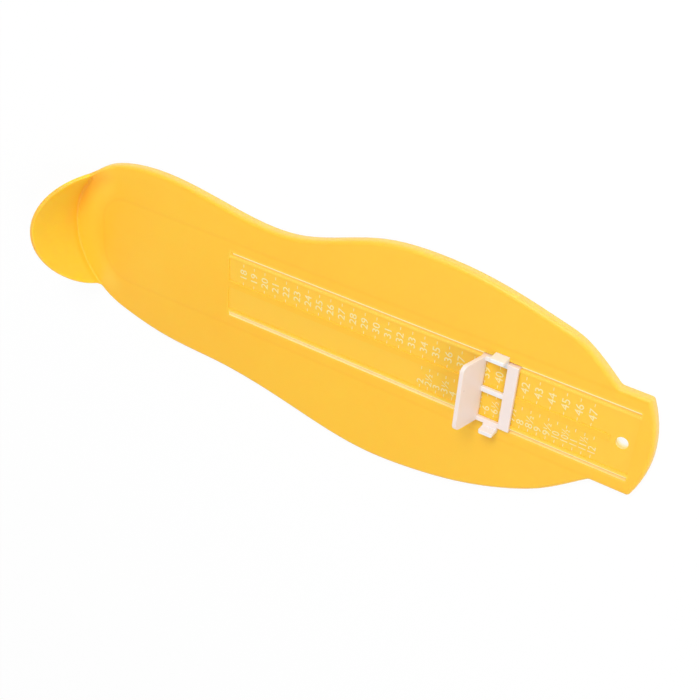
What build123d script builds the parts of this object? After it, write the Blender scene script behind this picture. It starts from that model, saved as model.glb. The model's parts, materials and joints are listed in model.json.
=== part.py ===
from build123d import *
import os
from itertools import accumulate
from math import cos, floor, radians, sin, sqrt, tan

# Foot measuring gauge: a moulded foot plate with a heel cup and a slotted ruler, and a slider
# with a toe stop that runs along the slots. Millimetres, +X towards the toes, +Z up.
# Stations are lengths forward from the back of the plate; offsets are from the ruler's centre line.

# ---------------------------------------------------------------- foot plate
plate_height = 4.5             # floor to the top of the plate
deck_thickness = 2.2
rim_thickness = 2.2            # the down-turned rim, and the cup's wall
top_edge_radius = 2.0          # rounded outer edge
heel_radius = 45.2
heel_turn = 107.0              # degrees round the heel arc to where each side begins

# Outline sections: run from the section before (the first: from the back of the plate),
# offset of the inner side of the foot (+Y), offset of its outer side (-Y).
heel_section = (66.3, 47.1, 50.5)
arch_section = (36.5, 42.5, 52.3)
waist_section = (44.7, 40.1, 59.0)
tread_section = (47.1, 54.3, 66.5)
ball_section = (30.0, 56.7, 64.8)
toe_root_section = (35.6, 52.6, 57.3)
toe_section = (28.5, 45.3, 45.4)
inner_notch_run = 29.9         # toe section to where each side meets the tab
outer_notch_run = 25.6
inner_notch_slope = -0.92
outer_notch_slope = 0.82
toe_to_tip = 51.0

tab_half_width = 26.3
tip_crown = 6.2                # bow of the tab's front edge
tab_corner_radius = 2.0
notch_radius = 3.0
rim_samples = 12               # points that the hollow's sides are drawn through

# ---------------------------------------------------------------- heel cup
cup_height = 28.0              # above the plate's top
cup_lean = 12.8                # degrees outwards
cup_half_width = 33.6          # where its rim runs out into the plate
cup_foot_radius = 5.0          # rim to plate edge
cup_base_radius = 1.2          # inside, wall to plate
cup_rim_radius = 0.7

# ---------------------------------------------------------------- scales
ink_thickness = 0.06
mark_width = 0.35
mark_length = 1.6
eu_first_size = 18
eu_zero = -3.3                 # station of EU size 0
paris_point = 20 / 3           # one EU size
eu_mark_offsets = (13.3, 3.0)
us_first_run = 106.9           # EU size 18 to US size 2
us_half_size = 4.46
us_mark_offsets = (-3.3, -13.6)
last_mark_gap = 5.0            # last mark to the front end of the middle rib

# ---------------------------------------------------------------- ruler
slot_lead = 8.4                # back end of the slots to the first mark
slot_tip_gap = 8.7             # front end of the slots to the tip
slot_offset = 17.6             # slot's middle from the centre line
slot_width = 2.1
slot_corner_radius = 0.3
field_lead = 9.2               # back end of the recessed label field to the first mark
field_gap = 1.55               # plate left between a slot and the field
field_depth = 0.4
rib_width = 3.6                # rib along the middle of the field, level with the plate
rib_tip_gap = 20.2
hang_hole_tip_gap = 14.3
hang_hole_radius = 3.0

# Stiffening rib under the plate: round the heel seat and along both sides of the ruler.
under_rib_thickness = 1.6
under_rib_inset = 1.6          # its middle inside the tab's side
under_rib_back = 21.5
under_rib_corner = 17.0
under_rib_floor_gap = 0.4

# ---------------------------------------------------------------- slider
slider_rest = 145.9            # back end of the slots to the back of the slider
slider_clearance = 0.15        # between the slider and what it slides on
keel_thickness = 1.2           # in the slots; the frame is flush with the keels outside
frame_thickness = 1.7
stop_thickness = 2.0
stop_height = 15.0             # above the frame
stop_lean = 12.0               # degrees towards the heel
stop_corner_radius = 3.5
window_length = 11.2
window_side_bar = 2.4          # frame left outside each window
middle_bar_width = 2.6
front_bar_width = 5.5
finger_tab_back = 5.8          # from the back of the frame
finger_tab_length = 7.2
finger_tab_gap = 1.0           # outside the frame
finger_tab_thickness = 2.1
finger_tab_height = 4.8        # above its foot
finger_tab_corner_radius = 1.0
hook_height = 1.3
hook_reach = 1.2               # beyond the slot, under the deck
slider_edge_radius = 0.35

# ---------------------------------------------------------------- derived places
sections = [
    heel_section,
    arch_section,
    waist_section,
    tread_section,
    ball_section,
    toe_root_section,
    toe_section,
]
stations = list(accumulate(run for run, inner, outer in sections))
inner_points = [(station, inner) for station, (run, inner, outer) in zip(stations, sections)]
outer_points = [(station, -outer) for station, (run, inner, outer) in zip(stations, sections)]
inner_notch = stations[-1] + inner_notch_run
outer_notch = stations[-1] + outer_notch_run
plate_length = stations[-1] + toe_to_tip
tip_radius = (tab_half_width**2 + tip_crown**2) / (2 * tip_crown)

cup_overhang = (cup_height + top_edge_radius) * tan(radians(cup_lean))
back_x = -(plate_length - cup_overhang) / 2
ruler_y = (max(outer for run, inner, outer in sections) - max(inner for run, inner, outer in sections)) / 2
deck_underside = plate_height - deck_thickness
field_floor = plate_height - field_depth
edge_start = plate_height - top_edge_radius

eu_first_station = eu_zero + eu_first_size * paris_point
us_first_station = eu_first_station + us_first_run
slot_start = eu_first_station - slot_lead
field_start = eu_first_station - field_lead
slot_end = plate_length - slot_tip_gap
slot_middle = (slot_start + slot_end) / 2
rib_end = plate_length - rib_tip_gap
hang_hole = plate_length - hang_hole_tip_gap
field_half_width = slot_offset - slot_width / 2 - field_gap
under_rib_offset = tab_half_width - under_rib_inset

slider_back = slot_start + slider_rest
keel_inner = slot_offset - slot_width / 2 + slider_clearance
frame_half_width = keel_inner + keel_thickness
frame_bottom = plate_height + slider_clearance
window_outer = frame_half_width - window_side_bar
stop_run = stop_thickness / cos(radians(stop_lean))
stop_shift = stop_height * tan(radians(stop_lean))
frame_length = stop_run + window_length + front_bar_width
window_back = back_x + slider_back + stop_run + slider_clearance
stop_foot = frame_bottom + frame_thickness + slider_clearance
tab_inner = frame_half_width + finger_tab_gap
tab_outer = tab_inner + finger_tab_thickness
bridge_inner = frame_half_width - window_side_bar / 2
hook_top = deck_underside - slider_clearance
hook_bottom = hook_top - hook_height
hook_tip = slot_offset + slot_width / 2 + hook_reach


def level(height):
    """Horizontal plane whose origin is over the back of the plate, on the ruler's centre line."""
    return Plane((back_x, ruler_y, height))


def slider_level(height):
    """Horizontal plane whose origin is over the back of the slider, on the ruler's centre line."""
    return Plane((back_x + slider_back, ruler_y, height))


def slider_side(offset):
    """Upright plane along the slider, its corner at the back of the frame's underside."""
    return Plane((back_x + slider_back, ruler_y + offset, frame_bottom), x_dir=(1, 0, 0), z_dir=(0, -1, 0))


def heel_point(angle):
    """Point on the heel arc, by its angle from +X."""
    return (heel_radius + heel_radius * cos(radians(angle)), heel_radius * sin(radians(angle)))


def heel_and_tab(inner_side, outer_side, inset):
    """Heel arc and tab that close the outline between its two sides, moved in by the inset."""
    half_width = tab_half_width - inset
    front = plate_length - tip_radius + sqrt((tip_radius - inset) ** 2 - half_width**2)
    CenterArc((heel_radius, 0), heel_radius - inset, heel_turn, 360 - 2 * heel_turn)
    Line(inner_side @ 1, (front, half_width))
    Line(outer_side @ 1, (front, -half_width))
    ThreePointArc((front, half_width), (plate_length - inset, 0), (front, -half_width))


def moved_in(side, turn):
    """Points along a side of the outline, moved in by the rim's thickness, as far as the tab."""
    places = [i / rim_samples for i in range(rim_samples + 1)]
    points = [side @ place + (side % place).rotate(Axis.Z, turn) * rim_thickness for place in places]
    past_end = (tab_half_width - rim_thickness - abs(points[-1].Y)) / -abs((side % 1).Y)
    return points[:-1] + [points[-1] + (side % 1) * past_end]


os.makedirs("parts", exist_ok=True)

# Outline of the foot plate
with BuildSketch() as footprint:
    with BuildLine():
        heel_slope = -1 / tan(radians(heel_turn))
        inner_side = Spline(
            heel_point(heel_turn),
            *inner_points,
            (inner_notch, tab_half_width),
            tangents=[(1, heel_slope), (1, inner_notch_slope)],
        )
        outer_side = Spline(
            heel_point(-heel_turn),
            *outer_points,
            (outer_notch, -tab_half_width),
            tangents=[(1, -heel_slope), (1, outer_notch_slope)],
        )
        heel_and_tab(inner_side, outer_side, inset=0)
    make_face()
    fillet(footprint.vertices().sort_by(Axis.X)[-4:-2], notch_radius)
    fillet(footprint.vertices().sort_by(Axis.X)[-2:], tab_corner_radius)

# Hollow under the plate, inside the rim
with BuildSketch() as hollow:
    with BuildLine():
        inner_wall = Spline(*moved_in(inner_side, -90), tangents=[inner_side % 0, inner_side % 1])
        outer_wall = Spline(*moved_in(outer_side, 90), tangents=[outer_side % 0, outer_side % 1])
        heel_and_tab(inner_wall, outer_wall, inset=rim_thickness)
    make_face()
    fillet(hollow.vertices().sort_by(Axis.X)[-4:-2], notch_radius + rim_thickness)

# Heel cup: a leaning ring on the plate's edge, cut off by an arch that is seen from the toes
heel_axis = Axis((back_x + heel_radius, ruler_y, 0), (0, 0, 1))
ring_plane = Plane(heel_axis.position, x_dir=(-1, 0, 0), z_dir=(0, 1, 0))
arch_plane = Plane(heel_axis.position, x_dir=(0, -1, 0), z_dir=(-1, 0, 0))
cup_top = plate_height + cup_height
ring_foot = edge_start / 2     # the ring starts inside the plate
wall_run = rim_thickness / cos(radians(cup_lean))
inner_foot = heel_radius + top_edge_radius * tan(radians(cup_lean)) - wall_run

with BuildPart() as heel_cup:
    with BuildSketch(ring_plane) as ring_profile:
        Polygon(
            (heel_radius - (edge_start - ring_foot) * tan(radians(cup_lean)), ring_foot),
            (heel_radius + cup_overhang, cup_top),
            (heel_radius + cup_overhang - wall_run, cup_top),
            (inner_foot, plate_height),
            (inner_foot - 2 * cup_base_radius, plate_height),
            (inner_foot - 2 * cup_base_radius, ring_foot),
            align=None,
        )
        fillet(ring_profile.vertices().sort_by_distance((inner_foot, plate_height))[0], cup_base_radius)
    revolve(axis=heel_axis)
    with BuildSketch(arch_plane) as arch:
        with Locations((0, edge_start)):
            Ellipse(cup_half_width, cup_height + top_edge_radius)
            Rectangle(2 * (cup_half_width + 2 * cup_foot_radius), edge_start, align=(Align.CENTER, Align.MAX))
        arch_feet = arch.vertices().filter_by_position(Axis.Y, edge_start / 2, edge_start + cup_rim_radius)
        fillet(arch_feet.sort_by(Axis.X)[1:-1], cup_foot_radius)
    extrude(amount=2 * heel_radius, mode=Mode.INTERSECT)
    fillet(heel_cup.edges().group_by(Axis.Z)[-1], cup_rim_radius)

# Foot plate: deck and down-turned rim, the cup, the slots and the recessed label field
with BuildPart() as foot_plate:
    with BuildSketch(level(0)):
        add(footprint.sketch)
    extrude(amount=plate_height)
    fillet(foot_plate.faces().sort_by(Axis.Z)[-1].edges(), top_edge_radius)
    add(heel_cup.part)
    with BuildSketch(level(0)):
        add(hollow.sketch)
    extrude(amount=deck_underside, mode=Mode.SUBTRACT)
    with BuildSketch(level(under_rib_floor_gap)):
        with BuildLine():
            FilletPolyline(
                (inner_notch, under_rib_offset),
                (under_rib_back, under_rib_offset),
                (under_rib_back, -under_rib_offset),
                (inner_notch, -under_rib_offset),
                radius=under_rib_corner,
            )
        trace(line_width=under_rib_thickness)
    extrude(amount=deck_underside - under_rib_floor_gap)
    with BuildSketch(level(0)):
        with Locations((slot_middle, slot_offset), (slot_middle, -slot_offset)):
            RectangleRounded(slot_end - slot_start, slot_width, slot_corner_radius)
        with Locations((hang_hole, 0)):
            Circle(hang_hole_radius)
    extrude(amount=plate_height, mode=Mode.SUBTRACT)
    with BuildSketch(level(plate_height)):
        with Locations((field_start, 0)):
            Rectangle(slot_end - field_start, 2 * field_half_width, align=(Align.MIN, Align.CENTER))
            Rectangle(rib_end - field_start, rib_width, align=(Align.MIN, Align.CENTER), mode=Mode.SUBTRACT)
    extrude(amount=-field_depth, mode=Mode.SUBTRACT)

foot_plate.part.label = "foot_plate"
export_step(foot_plate.part, "parts/foot_plate.step")

# Slider: a frame with two reading windows, a leaning toe stop, finger tabs, and hooked keels in the slots
hook_plane = Plane((back_x + slider_back + finger_tab_back, ruler_y, 0), x_dir=(0, 1, 0), z_dir=(1, 0, 0))

with BuildPart() as slider:
    with BuildSketch(slider_level(frame_bottom)):
        Rectangle(frame_length, 2 * frame_half_width, align=(Align.MIN, Align.CENTER))
        with Locations((stop_run, 0)):
            Rectangle(window_length, 2 * window_outer, align=(Align.MIN, Align.CENTER), mode=Mode.SUBTRACT)
            Rectangle(window_length, middle_bar_width, align=(Align.MIN, Align.CENTER))
    extrude(amount=frame_thickness)
    frame_edges = slider.faces().sort_by(Axis.Z)[-1].edges()
    fillet(frame_edges.filter_by(lambda edge: edge.center().X > window_back), slider_edge_radius)
    with BuildSketch(slider_side(0)):
        Polygon(
            (0, frame_thickness),
            (stop_run, frame_thickness),
            (stop_run - stop_shift, frame_thickness + stop_height),
            (-stop_shift, frame_thickness + stop_height),
            align=None,
        )
    extrude(amount=frame_half_width, both=True)
    fillet(slider.faces().sort_by(Axis.Z)[-1].edges().filter_by(Axis.X), stop_corner_radius)
    fillet(slider.edges().filter_by(lambda edge: edge.center().Z > stop_foot), slider_edge_radius)
    with BuildSketch(slider_side(bridge_inner), slider_side(-tab_inner)):
        with Locations((finger_tab_back, 0)):
            Rectangle(finger_tab_length, frame_thickness, align=(Align.MIN, Align.MIN))
    extrude(amount=bridge_inner - tab_inner)
    with BuildSketch(slider_side(tab_inner), slider_side(-tab_outer)) as finger_tab:
        with Locations((finger_tab_back, 0)):
            Rectangle(finger_tab_length, frame_thickness + finger_tab_height, align=(Align.MIN, Align.MIN))
        fillet(finger_tab.vertices().group_by(Axis.Y)[-1], finger_tab_corner_radius)
    extrude(amount=-finger_tab_thickness)
    raised_edges = slider.edges().filter_by(lambda edge: edge.center().Z > stop_foot)
    beside_frame = frame_half_width + finger_tab_gap / 2
    tab_edges = raised_edges.filter_by(lambda edge: abs(edge.center().Y - ruler_y) > beside_frame)
    fillet(tab_edges, slider_edge_radius)
    with BuildSketch(slider_level(deck_underside)):
        with Locations((0, keel_inner + keel_thickness / 2), (0, -keel_inner - keel_thickness / 2)):
            Rectangle(frame_length, keel_thickness, align=(Align.MIN, Align.CENTER))
    extrude(amount=frame_bottom - deck_underside)
    with BuildSketch(hook_plane):
        Polygon(
            (keel_inner, deck_underside),
            (keel_inner, hook_bottom),
            (frame_half_width, hook_bottom),
            (hook_tip, hook_top - hook_height / 3),
            (hook_tip, hook_top),
            (frame_half_width, hook_top),
            (frame_half_width, deck_underside),
            align=None,
        )
        mirror(about=Plane.YZ)
    extrude(amount=finger_tab_length)

slider.part.label = "slider"
export_step(slider.part, "parts/slider.step")

# Printed scales: short marks on the field, either side of each row of sizes
eu_count = floor((rib_end - last_mark_gap - eu_first_station) / paris_point) + 1
us_count = floor((rib_end - last_mark_gap - us_first_station) / us_half_size) + 1

with BuildPart() as eu_scale_marks:
    with BuildSketch(level(field_floor)):
        for step in range(eu_count):
            with Locations([(eu_first_station + step * paris_point, offset) for offset in eu_mark_offsets]):
                Rectangle(mark_width, mark_length)
    extrude(amount=ink_thickness)

eu_scale_marks.part.label = "eu_scale_marks"
export_step(eu_scale_marks.part, "parts/eu_scale_marks.step")

with BuildPart() as us_scale_marks:
    with BuildSketch(level(field_floor)):
        for step in range(us_count):
            with Locations([(us_first_station + step * us_half_size, offset) for offset in us_mark_offsets]):
                Rectangle(mark_width, mark_length)
    extrude(amount=ink_thickness)

us_scale_marks.part.label = "us_scale_marks"
export_step(us_scale_marks.part, "parts/us_scale_marks.step")
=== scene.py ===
import json
from math import radians

import bpy
from mathutils import Matrix, Vector


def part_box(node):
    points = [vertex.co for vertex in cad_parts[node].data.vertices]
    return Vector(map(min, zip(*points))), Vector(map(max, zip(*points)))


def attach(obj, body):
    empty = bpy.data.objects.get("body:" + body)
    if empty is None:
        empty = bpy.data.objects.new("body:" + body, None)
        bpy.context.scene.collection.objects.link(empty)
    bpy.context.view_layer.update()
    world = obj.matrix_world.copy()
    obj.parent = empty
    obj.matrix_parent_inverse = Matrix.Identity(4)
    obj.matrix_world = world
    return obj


# A foot measuring gauge: a satin yellow foot plate with a heel cup, shoe sizes printed along its
# ruler, and a white slider with a toe stop.
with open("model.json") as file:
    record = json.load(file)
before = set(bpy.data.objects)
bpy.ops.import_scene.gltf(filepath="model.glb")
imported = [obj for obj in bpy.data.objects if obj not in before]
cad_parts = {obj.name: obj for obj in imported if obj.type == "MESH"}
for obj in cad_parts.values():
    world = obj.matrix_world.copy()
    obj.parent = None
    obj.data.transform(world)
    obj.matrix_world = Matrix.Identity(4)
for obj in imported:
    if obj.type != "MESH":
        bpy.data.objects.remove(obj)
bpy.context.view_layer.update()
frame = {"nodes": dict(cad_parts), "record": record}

# ---------------------------------------------------------------- sizes of the gauge, in metres
ink_thickness = 0.00006
mark_width = 0.00035
eu_first_size = 18
paris_point = 0.020 / 3        # one EU size
us_first_size = 2
us_half_size = 0.00446
us_numeral_indent = 0.0021     # from the outer end of the marks to the US numerals
eu_numeral_height = 0.0039
us_numeral_height = 0.0036
numeral_stretch = 1.1
narrow_stretch = 0.85          # of the US numerals with two digits
cap_share = 0.69               # height of a numeral in the built-in face, as a share of its size
curve_steps = 4                # straight lines in each curve of a numeral

deck_top = 0.0045
field_floor = 0.0041
field_half_width = 0.0150
slot_offset = 0.0176
slot_width = 0.0021
slot_lead = 0.0084             # back end of the slots to the first mark
slot_tip_gap = 0.0087          # front end of the slots to the tip
under_rib_back = 0.0215        # from the back of the plate
under_rib_offset = 0.0247      # from the ruler's centre line
under_rib_corner = 0.0170
heel_radius = 0.0452
cup_overhang = 0.006816        # of the cup's rim, past the back of the plate

plate_low, plate_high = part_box("foot_plate")
slider_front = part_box("slider")[1].x
eu_low, eu_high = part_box("eu_scale_marks")
us_low, us_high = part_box("us_scale_marks")
hole_x, ruler_y = frame["record"]["mounts"][0]["pos_m"][:2]
back_x = plate_low.x + cup_overhang
slots_back = eu_low.x + mark_width / 2 - slot_lead
slots_front = plate_high.x - slot_tip_gap
eu_count = round((eu_high.x - eu_low.x - mark_width) / paris_point) + 1
us_count = round((us_high.x - us_low.x - mark_width) / us_half_size) + 1
ink_middle = field_floor + ink_thickness / 2


# ---------------------------------------------------------------- shader arithmetic
class Signal:
    """The output of a shader node, which takes part in sums and products."""

    def __init__(self, nodes, socket):
        self.nodes = nodes
        self.socket = socket

    def maths(self, operation, *values):
        return self.nodes.node("Math", {"operation": operation}, dict(enumerate(values)))

    def __add__(self, other):
        return self.maths("ADD", self, other)

    def __sub__(self, other):
        return self.maths("SUBTRACT", self, other)

    def __rsub__(self, other):
        return self.maths("SUBTRACT", other, self)

    def __mul__(self, other):
        return self.maths("MULTIPLY", self, other)

    __radd__ = __add__
    __rmul__ = __mul__

    def __abs__(self):
        return self.maths("ABSOLUTE", self)

    def highest(self, other):
        return self.maths("MAXIMUM", self, other)

    def lowest(self, other):
        return self.maths("MINIMUM", self, other)

    def root(self):
        return self.maths("SQRT", self)

    def rise(self, start, end):
        """A smooth step from 0 at the start to 1 at the end, or down from 1 if the end is lower."""
        rises = start < end
        sockets = {
            "Value": self,
            "From Min": min(start, end),
            "From Max": max(start, end),
            "To Min": 0.0 if rises else 1.0,
            "To Max": 1.0 if rises else 0.0,
        }
        return self.nodes.node("MapRange", {"interpolation_type": "SMOOTHSTEP"}, sockets)

    def between(self, start, full, fading, end):
        """A smooth step up from the start, and one down to the end."""
        return self.rise(start, full) * self.rise(end, fading)

    def spread(self, low, high):
        """The range from 0 to 1 turned into this one."""
        return self * (high - low) + low


def distance(across, along):
    return (across * across + along * along).root()


class Nodes:
    """A node tree, emptied and then built one node at a time."""

    # A Mix node's sockets for colours, which share their names with others on it.
    mix_share, mix_from, mix_to, mixed = 0, 6, 7, 2

    def __init__(self, tree):
        self.tree = tree
        self.tree.nodes.clear()

    def node(self, kind, settings=None, sockets=None, output=0):
        """One node: its settings are set first, then the values or links of its sockets."""
        made = self.tree.nodes.new("ShaderNode" + kind)
        for name, value in (settings or {}).items():
            setattr(made, name, value)
        for place, value in (sockets or {}).items():
            if isinstance(value, Signal):
                self.tree.links.new(value.socket, made.inputs[place])
            else:
                made.inputs[place].default_value = value
        return Signal(self, made.outputs[output]) if made.outputs else made

    def in_sight(self):
        """1 for what the camera sees, also in a reflection or through glass, and 0 for lighting."""
        straight, mirrored, through = [
            self.node("LightPath", output=f"Is {kind} Ray")
            for kind in ("Camera", "Glossy", "Transmission")
        ]
        return straight.highest(mirrored).highest(through)


class Finish(Nodes):
    """The material of one finish."""

    def __init__(self, name):
        self.material = bpy.data.materials.new(name)
        self.material.use_nodes = True
        super().__init__(self.material.node_tree)

    def point(self):
        """The point in the gauge's own frame."""
        return self.node("TexCoord", output="Object")

    def part(self, vector, axis):
        return self.node("SeparateXYZ", sockets={"Vector": vector}, output=axis)

    def parts(self, vector):
        return [self.part(vector, axis) for axis in "XYZ"]

    def slope(self):
        """The upward part of the surface's normal: 1 on a level top, and 0 on a wall."""
        return self.part(self.node("NewGeometry", output="Normal"), "Z")

    def noise(self, point, size, detail):
        """Noise from 0 to 1 whose blots are about this size, in metres."""
        sockets = {"Vector": point, "Scale": 1 / size, "Detail": detail}
        return self.node("TexNoise", sockets=sockets)

    def mix(self, share, colour, other):
        sockets = {self.mix_share: share, self.mix_from: colour, self.mix_to: other}
        return self.node("Mix", {"data_type": "RGBA"}, sockets, output=self.mixed)

    def tinted(self, colour, where, tone):
        """The colour with a tone over it."""
        other, strength = tone
        return self.mix(where * strength, colour, other)

    def bump(self, height, depth, normal=None):
        """Relief whose heights from 0 to 1 stand for this depth, in metres."""
        sockets = {"Height": height, "Distance": depth, "Strength": 1.0}
        if normal:
            sockets["Normal"] = normal
        return self.node("Bump", sockets=sockets)

    def shader(self, sockets):
        return self.node("BsdfPrincipled", sockets=sockets)

    def blend(self, share, shader, other):
        return self.node("MixShader", sockets={0: share, 1: shader, 2: other})

    def surface(self, shader):
        self.node("OutputMaterial", sockets={"Surface": shader})
        return self.material


def srgb(red, green, blue):
    """A colour from its 0 to 255 screen values."""
    def linear(value):
        share = value / 255
        return share / 12.92 if share <= 0.04045 else ((share + 0.055) / 1.055) ** 2.4

    return (linear(red), linear(green), linear(blue), 1.0)


# ---------------------------------------------------------------- colours
pure_white = (1.0, 1.0, 1.0, 1.0)
deck_yellows = srgb(254, 189, 33), srgb(254, 194, 38)
fold_shade_yellows = srgb(255, 196, 38), srgb(254, 182, 36)      # painted shade in the fold: outer side, inner side
# painted light: the walls of the slots and the hang hole pale, as if lit
outer_slot_light_yellow = srgb(255, 229, 98)
inner_slot_light_yellows = srgb(255, 247, 184), srgb(255, 238, 156)      # heel end, toe end
# painted light: a pale halo on the deck beside the slots
slot_light_halo_yellow = srgb(255, 216, 88)
# painted light: the plate's rim walls paler, as if lit
rim_light_yellow = srgb(252, 203, 100)
# painted highlight: the walls of the label field's step paler
field_step_light_yellow = srgb(255, 208, 76)
slider_whites = srgb(235, 221, 215), srgb(237, 224, 219)
# painted light: a cooler white where less yellow light from the plate reaches the slider
painted_cool_white = srgb(231, 237, 240)
ink_whites = srgb(246, 222, 152), srgb(250, 231, 172)

# A tone is a colour and how strongly it covers the colours before it.
# painted light: the deck paler towards the toe end
toe_light_tone = srgb(254, 196, 55), 0.8
mottle_tone = srgb(254, 198, 48), 0.25
# painted light: the heel cup paler than the deck
cup_light_tone = srgb(254, 205, 62), 0.8
# painted shade: the cup's low wall at the inner side darker orange
low_wall_shade_tone = srgb(253, 184, 52), 0.5
# painted shade: the top of the cup's rim darker
cup_rim_shade_tone = srgb(247, 178, 58), 0.8
# painted light: the deck round the cup's foot paler
cup_foot_light_tone = srgb(255, 203, 60), 0.8
foot_shade_tone = srgb(253, 172, 44), 0.85
# painted shade: a darker line along the shrink dent over the rib
sink_shade_tone = srgb(247, 174, 26), 0.2
field_tone = srgb(253, 200, 48), 0.4
# painted shade in the fold at the cup's foot
fold_shade_strength = 0.9
light_halo_strengths = (0.3, 0.7)    # painted light beside a slot: on its far side, and on the ruler's side
grip_cool_light_strengths = (0.40, 0.85)  # painted cooler light on the slider's finger grips: outer side, inner side
bar_cool_light_strength = 0.55            # painted cooler light on the slider's thin bars

# ---------------------------------------------------------------- bands
# A band of two numbers is where a smooth step starts and ends, and a band of four is a step up
# and a step down. Heights, places and distances are in metres. A slope is the upward part of the
# surface's normal.
flow_band = (0.25, 0.75)
mottle_band = (0.3, 0.9)
slider_flow_band = (0.3, 0.8)
coverage_band = (0.35, 0.75)

level_slope = (0.80, 0.98)
wall_slope = (0.85, 0.15)
lit_rim_slope = (-0.9, -0.6)
cup_rim_shade_slope = (0.5, 0.7)
fold_shade_slope = (0.995, 0.970)

deck_height = (0.0030, 0.0036, 0.0048, 0.0058)
cup_height = (0.0050, 0.0090)
low_wall_shade_height = (0.016, 0.006)
cup_foot_height = (0.0054, 0.0050)
fold_shade_height = (0.00451, 0.00458, 0.0056, 0.0062)
field_height = (deck_top - 0.0001, field_floor + 0.0001)
field_step_light_height = (0.00395, 0.00405, 0.0046, 0.0052)
lit_rim_height = (0.0045, 0.0025)
thin_bar_height = (0.0085, 0.0075)

toe_light_lean = 1.5                 # of the painted light at the toe end, which comes sooner at the inner side
toe_light_band = (-0.10, 0.20)
inner_slot_length = (0.05, 0.12)
slot_length = (slots_back - 0.001, slots_back, slots_front, slots_front + 0.001)
thin_bar_length = (
    slider_front - 0.0170, slider_front - 0.0160, slider_front - 0.0060, slider_front - 0.0050
)

# Places across the gauge are counted from the ruler's centre line towards the inner side.
low_wall_shade_side = (-0.012, 0.004, 0.016, 0.030)
cup_foot_light_side = (-0.038, -0.026)
foot_shade_side = (0.0, 0.022, 0.030, 0.041)
fold_shade_side = (-0.010, 0.020)
outer_slot_side = (0.001, -0.001)
slider_inner_side = (-0.016, 0.002)
field_edge = (field_half_width + 0.0002, field_half_width - 0.0002)
field_step_light_edge = (field_half_width + 0.0006, field_half_width + 0.0003)
slot_line = (slot_offset + 0.0002, slot_offset - 0.0002)
grip_start = (0.0182, 0.0188)

cup_foot_ring = (0.022, 0.034)         # from the centre of the heel
cup_foot_back = (-0.010, -0.022)       # behind it
foot_shade_ring = (0.0335, 0.0425)
sink_reach = (0.0016, 0.0002)
slot_light_halo_reach = (0.0018, 0.0002)
slot_wall_reach = (0.0003, 0.0001)
hole_wall_reach = (0.0036, 0.0032)

# ---------------------------------------------------------------- plastics and ink
plate_roughness = (0.38, 0.50)
slider_roughness = (0.24, 0.36)
ink_roughness = (0.45, 0.65)
plate_index = 1.49
slider_index = 1.50
deck_scatter = {"Subsurface Weight": 0.5, "Subsurface Radius": (0.0024, 0.0010, 0.0003)}
cup_scatter = {"Subsurface Weight": 0.9, "Subsurface Radius": (0.0090, 0.0030, 0.0005)}
slider_scatter = {"Subsurface Weight": 0.2, "Subsurface Radius": (0.0020, 0.0016, 0.0012)}
# a painted glow in the walls of the slots and the hang hole
painted_slot_glow = {"Emission Color": (0.16, 0.02, 0.0, 1.0), "Emission Strength": 1.0}


def under_rib_distance(x, side):
    """How far a point is, seen from above, from the middle of the U-shaped rib under the plate."""
    behind = (back_x + under_rib_back + under_rib_corner) - x
    beside = abs(side) - (under_rib_offset - under_rib_corner)
    round_corner = distance(behind.highest(0), beside.highest(0))
    return abs(round_corner + behind.highest(beside).lowest(0) - under_rib_corner)


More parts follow.
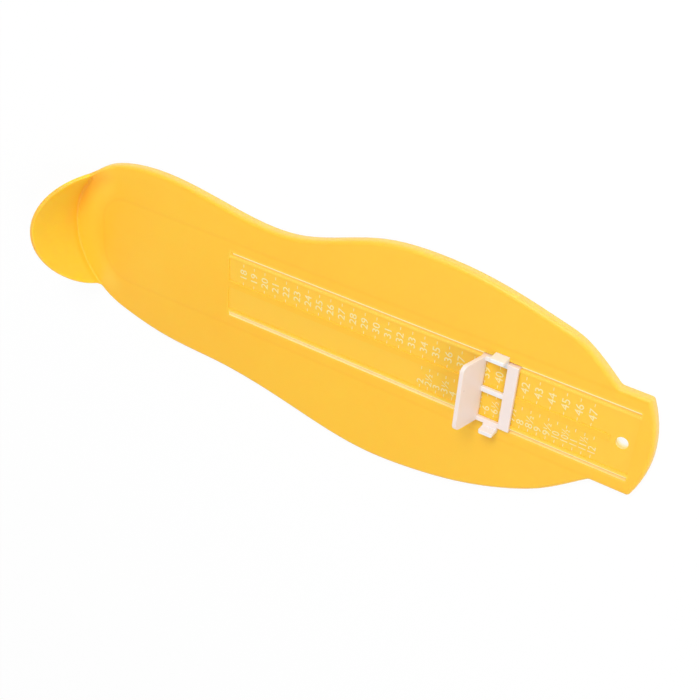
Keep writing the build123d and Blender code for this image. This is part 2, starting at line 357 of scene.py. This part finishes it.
def plate_finish():
    """Translucent yellow plastic with a shrink dent over the hidden rib, and painted light and
    shade.
    """
    finish = Finish("plate_plastic")
    point = finish.point()
    x, y, z = finish.parts(point)
    slope = finish.slope()
    side = y - ruler_y
    from_centre = abs(side)

    # the whole plate, with painted light that makes it paler towards the toe end
    flow = finish.noise(point, size=0.09, detail=1.0)
    mottle = finish.noise(point, size=0.012, detail=3.0)
    yellow = finish.mix(flow.rise(*flow_band), *deck_yellows)
    yellow = finish.tinted(yellow, (x + y * toe_light_lean).rise(*toe_light_band), toe_light_tone)
    yellow = finish.tinted(yellow, mottle.rise(*mottle_band), mottle_tone)

    # the heel cup, painted paler, with painted shade on its rim and low inner wall
    in_cup = z.rise(*cup_height)
    low_wall_shade = in_cup * z.rise(*low_wall_shade_height) * side.between(*low_wall_shade_side)
    cup_rim_shade = in_cup * slope.rise(*cup_rim_shade_slope)
    yellow = finish.tinted(yellow, in_cup, cup_light_tone)
    yellow = finish.tinted(yellow, low_wall_shade, low_wall_shade_tone)
    yellow = finish.tinted(yellow, cup_rim_shade, cup_rim_shade_tone)

    # the deck round the cup's foot with painted light and shade, and painted shade in the fold
    # between them
    behind_heel = x - (back_x + heel_radius)
    from_heel = distance(behind_heel, side)
    cup_foot = from_heel.rise(*cup_foot_ring) * behind_heel.rise(*cup_foot_back)
    cup_foot = cup_foot * z.rise(*cup_foot_height)
    foot_shade = from_heel.rise(*foot_shade_ring) * side.between(*foot_shade_side)
    fold_shade = z.between(*fold_shade_height) * slope.rise(*fold_shade_slope) * fold_shade_strength
    fold_shade_yellow = finish.mix(side.rise(*fold_shade_side), *fold_shade_yellows)
    yellow = finish.tinted(yellow, cup_foot * side.rise(*cup_foot_light_side), cup_foot_light_tone)
    yellow = finish.tinted(yellow, cup_foot * foot_shade, foot_shade_tone)
    yellow = finish.mix(fold_shade, yellow, fold_shade_yellow)

    # the sink mark with painted shade along it, the label field, and painted light beside the slots
    on_deck = z.between(*deck_height) * slope.rise(*level_slope)
    sink_dent_and_shade = under_rib_distance(x, side).rise(*sink_reach) * on_deck
    field = from_centre.rise(*field_edge) * z.rise(*field_height) * on_deck
    from_slot = abs(from_centre - slot_offset) - slot_width / 2
    along_slot = x.between(*slot_length)
    light_halo = from_slot.rise(*slot_light_halo_reach) * along_slot * on_deck
    light_halo = light_halo * from_centre.rise(*slot_line).spread(*light_halo_strengths)
    yellow = finish.tinted(yellow, sink_dent_and_shade, sink_shade_tone)
    yellow = finish.tinted(yellow, field, field_tone)
    yellow = finish.mix(light_halo, yellow, slot_light_halo_yellow)

    # painted light on the walls: the plate's rim, the field's step, the slots and the hang hole
    lit_rim = z.rise(*lit_rim_height) * slope.rise(*lit_rim_slope)
    wall = slope.rise(*wall_slope)
    field_step_light = wall * z.between(*field_step_light_height) * from_centre.rise(*field_step_light_edge)
    slot_wall = from_slot.rise(*slot_wall_reach) * along_slot
    hole_wall = distance(x - hole_x, side).rise(*hole_wall_reach)
    lit_thin_wall = wall * slot_wall.highest(hole_wall)
    inner_slot_light_yellow = finish.mix(x.rise(*inner_slot_length), *inner_slot_light_yellows)
    slot_light_yellow = finish.mix(side.rise(*outer_slot_side), outer_slot_light_yellow, inner_slot_light_yellow)
    yellow = finish.mix(lit_rim, yellow, rim_light_yellow)
    yellow = finish.mix(field_step_light, yellow, field_step_light_yellow)
    yellow = finish.mix(lit_thin_wall, yellow, slot_light_yellow)

    grain = finish.noise(point, size=0.0006, detail=3.0)
    waves = finish.noise(point, size=0.03, detail=1.0)
    relief = finish.bump(grain, depth=0.000012)
    relief = finish.bump(waves, depth=0.00012, normal=relief)
    relief = finish.bump(1 - sink_dent_and_shade, depth=0.00004, normal=relief)
    sockets = {
        "Base Color": yellow,
        "Roughness": finish.noise(point, size=0.02, detail=2.0).spread(*plate_roughness),
        "Normal": relief,
        "IOR": plate_index,
        "Subsurface Scale": 1.0,
    }
    deck = finish.shader(sockets | deck_scatter)
    cup = finish.shader(sockets | cup_scatter)
    # painted glow in the walls of the slots and the hang hole
    glowing_slot = finish.shader(sockets | painted_slot_glow)
    return finish.surface(finish.blend(lit_thin_wall, finish.blend(in_cup, deck, cup), glowing_slot))


def slider_finish():
    """White plastic with a fine moulded grain, and painted cooler light on its thin bars and finger
    tabs.
    """
    finish = Finish("slider_plastic")
    point = finish.point()
    x, y, z = finish.parts(point)
    side = y - ruler_y
    inner_side = side.rise(*slider_inner_side)
    grip_cool_light = abs(side).rise(*grip_start) * inner_side.spread(*grip_cool_light_strengths)
    bar_cool_light = x.between(*thin_bar_length) * z.rise(*thin_bar_height) * inner_side * bar_cool_light_strength

    flow = finish.noise(point, size=0.015, detail=2.0)
    white = finish.mix(flow.rise(*slider_flow_band), *slider_whites)
    # painted light: cooler on the thin bars and finger grips, where less yellow light from the
    # plate falls
    white = finish.mix(grip_cool_light.highest(bar_cool_light), white, painted_cool_white)
    grain = finish.bump(finish.noise(point, size=0.0005, detail=3.0), depth=0.000008)
    waves = finish.noise(point, size=0.012, detail=1.0)
    sockets = {
        "Base Color": white,
        "Roughness": finish.noise(point, size=0.006, detail=2.0).spread(*slider_roughness),
        "Normal": finish.bump(waves, depth=0.00005, normal=grain),
        "IOR": slider_index,
        "Subsurface Scale": 1.0,
    }
    return finish.surface(finish.shader(sockets | slider_scatter))


def ink_finish():
    """White pad-printed ink, a little thinner in places so that the yellow shows."""
    finish = Finish("scale_ink")
    point = finish.point()
    coverage = finish.noise(point, size=0.0009, detail=3.0)
    sockets = {
        "Base Color": finish.mix(coverage.rise(*coverage_band), *ink_whites),
        "Roughness": coverage.spread(*ink_roughness),
        "Normal": finish.bump(finish.noise(point, size=0.0003, detail=2.0), depth=0.000008),
    }
    return finish.surface(finish.shader(sockets))


def paint(piece, finish):
    piece.data.materials.clear()
    piece.data.materials.append(finish)


# ---------------------------------------------------------------- numerals
def numeral(words, height, stretch, place, align):
    """Ink numerals that read towards +Y, with their tops towards the heel."""
    bpy.ops.object.select_all(action="DESELECT")
    bpy.ops.object.text_add()
    text = bpy.context.object
    text.data.body = words
    text.data.size = 1 / cap_share
    text.data.align_x = align
    text.data.resolution_u = curve_steps
    text.data.extrude = ink_thickness / 2 / height
    bpy.ops.object.convert(target="MESH")
    text.data.transform(Matrix.Translation((0, -1 / 2, 0)))    # it is 1 high
    text.data.transform(Matrix.Diagonal((height * stretch, height, height, 1)))
    text.data.transform(Matrix.Translation(place) @ Matrix.Rotation(radians(90), 4, "Z"))
    return text


def join_numerals(name, numerals, ink):
    bpy.ops.object.select_all(action="DESELECT")
    for each in numerals:
        each.select_set(True)
    piece = numerals[0]
    bpy.context.view_layer.objects.active = piece
    bpy.ops.object.join()
    piece.name = name
    paint(piece, ink)
    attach(piece, "foot_plate")


def eu_numerals(ink):
    """The whole sizes, in the middle between their two rows of marks."""
    middle = (eu_low.y + eu_high.y) / 2
    numerals = []
    for step in range(eu_count):
        place = (eu_low.x + mark_width / 2 + step * paris_point, middle, ink_middle)
        words = str(eu_first_size + step)
        numerals.append(numeral(words, eu_numeral_height, numeral_stretch, place, "CENTER"))
    join_numerals("eu_numerals", numerals, ink)


def us_numerals(ink):
    """The whole and half sizes, which start in line."""
    start = us_low.y + us_numeral_indent
    numerals = []
    for step in range(us_count):
        whole, half = divmod(2 * us_first_size + step, 2)
        place = (us_low.x + mark_width / 2 + step * us_half_size, start, ink_middle)
        words = str(whole) + "½" * half
        stretch = numeral_stretch if whole < 10 else narrow_stretch
        numerals.append(numeral(words, us_numeral_height, stretch, place, "LEFT"))
    join_numerals("us_numerals", numerals, ink)


# ---------------------------------------------------------------- the gauge
paint(frame["nodes"]["foot_plate"], plate_finish())
paint(frame["nodes"]["slider"], slider_finish())
scale_ink = ink_finish()
paint(frame["nodes"]["eu_scale_marks"], scale_ink)
paint(frame["nodes"]["us_scale_marks"], scale_ink)
eu_numerals(scale_ink)
us_numerals(scale_ink)

# ---------------------------------------------------------------- studio
camera_place = Vector((0.2662, 0.3128, 0.4304))
camera_right = Vector((0.83632, 0.07261, -0.54341))
camera_up = Vector((-0.34681, 0.83772, -0.42183))
lens, sensor_width = 60.99, 36         # in millimetres
ambient_level = 0.64
windows = {                            # place, size and watts
    "side_window": (Vector((0.10, 1.05, 0.90)), 0.5, 9.0),
    "toe_window": (Vector((1.15, 0.10, 0.90)), 0.5, 4.2),
}

floor_size = 6.0
floor_gap = 0.00002
paper_white = (0.97, 0.97, 0.97, 1.0)
under_plate_glow = srgb(255, 238, 170)
floor_glow = 0.93                      # of the floor in sight; the rest takes the shadow
cover_reach = 0.03                     # how near a cover has to be to count
cover_samples = 16
cover_band = (0.25, 0.10)              # share of open sky beside the plate and under it


def studio_floor():
    """White paper that is near white in sight, with a soft shadow.

    Under the plate it shows the yellow light that comes through the plastic."""
    bpy.ops.object.select_all(action="DESELECT")
    bpy.ops.mesh.primitive_plane_add(size=floor_size, location=(0, 0, -floor_gap))
    floor = bpy.context.object
    floor.name = "studio_floor"
    finish = Finish("white_paper")
    sampling = {"samples": cover_samples}
    open_sky = finish.node("AmbientOcclusion", sampling, {"Distance": cover_reach}, output="AO")
    covered = open_sky.rise(*cover_band)
    glow_colour = finish.mix(covered, pure_white, under_plate_glow)
    paper = finish.node("BsdfDiffuse", sockets={"Color": paper_white})
    glow = finish.node("Emission", sockets={"Color": glow_colour, "Strength": 1.0})
    glow_share = finish.in_sight() * covered.spread(floor_glow, 1)
    paint(floor, finish.surface(finish.blend(glow_share, paper, glow)))


def studio_light():
    """White all round, dimmer as a light than in sight, and two large windows."""
    world = bpy.data.worlds.new("studio")
    world.use_nodes = True
    bpy.context.scene.world = world
    sky = Nodes(world.node_tree)
    level = sky.in_sight().spread(ambient_level, 1)
    background = sky.node("Background", sockets={"Color": pure_white, "Strength": level})
    sky.node("OutputWorld", sockets={"Surface": background})

    for name, (place, size, watts) in windows.items():
        bpy.ops.object.light_add(type="AREA", location=place)
        window = bpy.context.object
        window.name = name
        window.data.size = size
        window.data.energy = watts
        window.rotation_euler = place.to_track_quat("Z", "Y").to_euler()


def studio_camera():
    bpy.ops.object.camera_add()
    camera = bpy.context.object
    camera.data.lens = lens
    camera.data.sensor_width = sensor_width
    back = camera_right.cross(camera_up).normalized()
    up = back.cross(camera_right).normalized()
    turn = Matrix((camera_right.normalized(), up, back)).transposed()
    camera.matrix_world = Matrix.Translation(camera_place) @ turn.to_4x4()
    bpy.context.scene.camera = camera


studio_floor()
studio_light()
studio_camera()
bpy.context.scene.view_settings.view_transform = "Standard"
